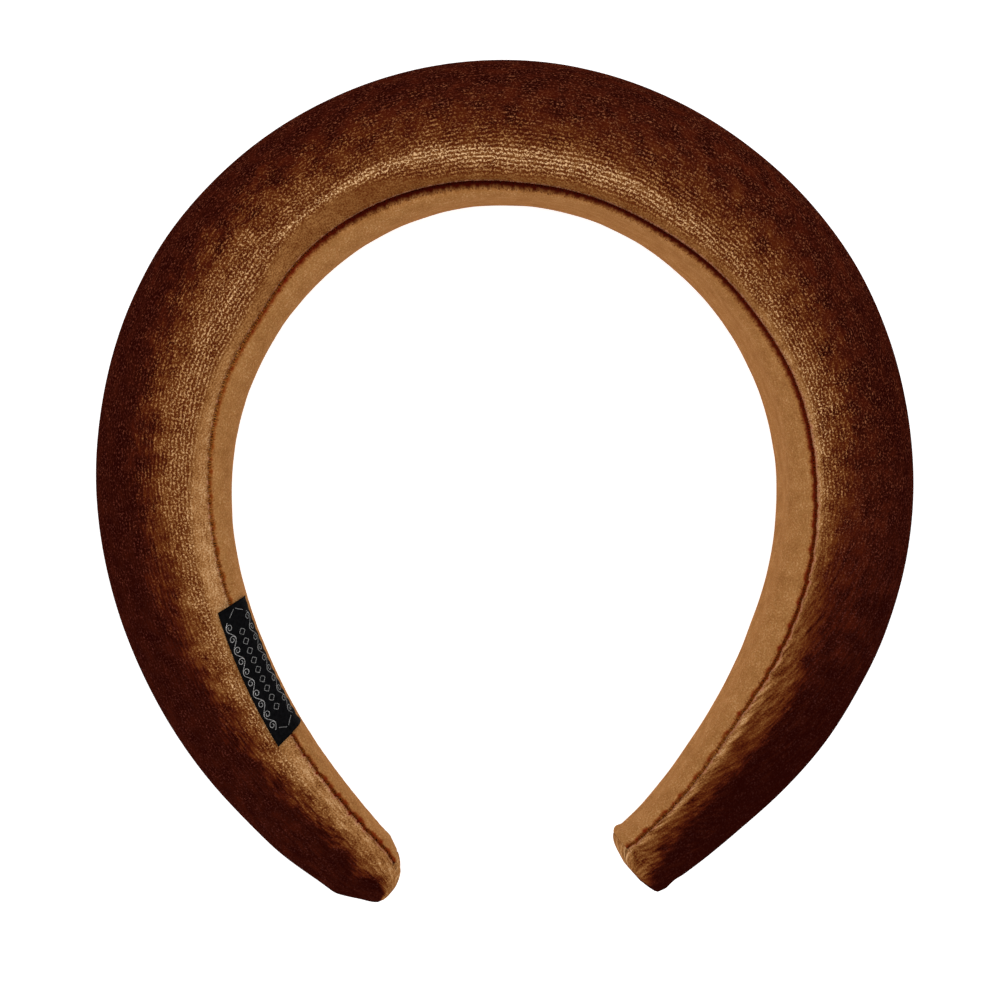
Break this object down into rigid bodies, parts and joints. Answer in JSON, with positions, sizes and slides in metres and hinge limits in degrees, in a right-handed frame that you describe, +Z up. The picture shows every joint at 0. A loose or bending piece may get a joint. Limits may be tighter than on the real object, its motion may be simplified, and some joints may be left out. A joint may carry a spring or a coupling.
{
  "type": "padded headband",
  "caption": "Thick foam-padded velvet headband, open at the back, with a lighter lining, a seam round its inner edge and a small woven label.",
  "frame": {"origin": "bottom centre of the bounding box, on the surface that the headband lies on", "axes": "+X to the right arm, +Y towards the crown, +Z up across the band, whose crown is widest"},
  "size_m": [0.1804, 0.1854, 0.0404],
  "materials": {
    "velvet": "crushed stretch velvet, copper brown",
    "lining_velvet": "short-pile velvet, light copper",
    "label_weave": "black woven ribbon"
  },
  "bodies": {
    "root": {"pad": "velvet", "lining": "lining_velvet", "label": "label_weave"}
  },
  "joints": []
}
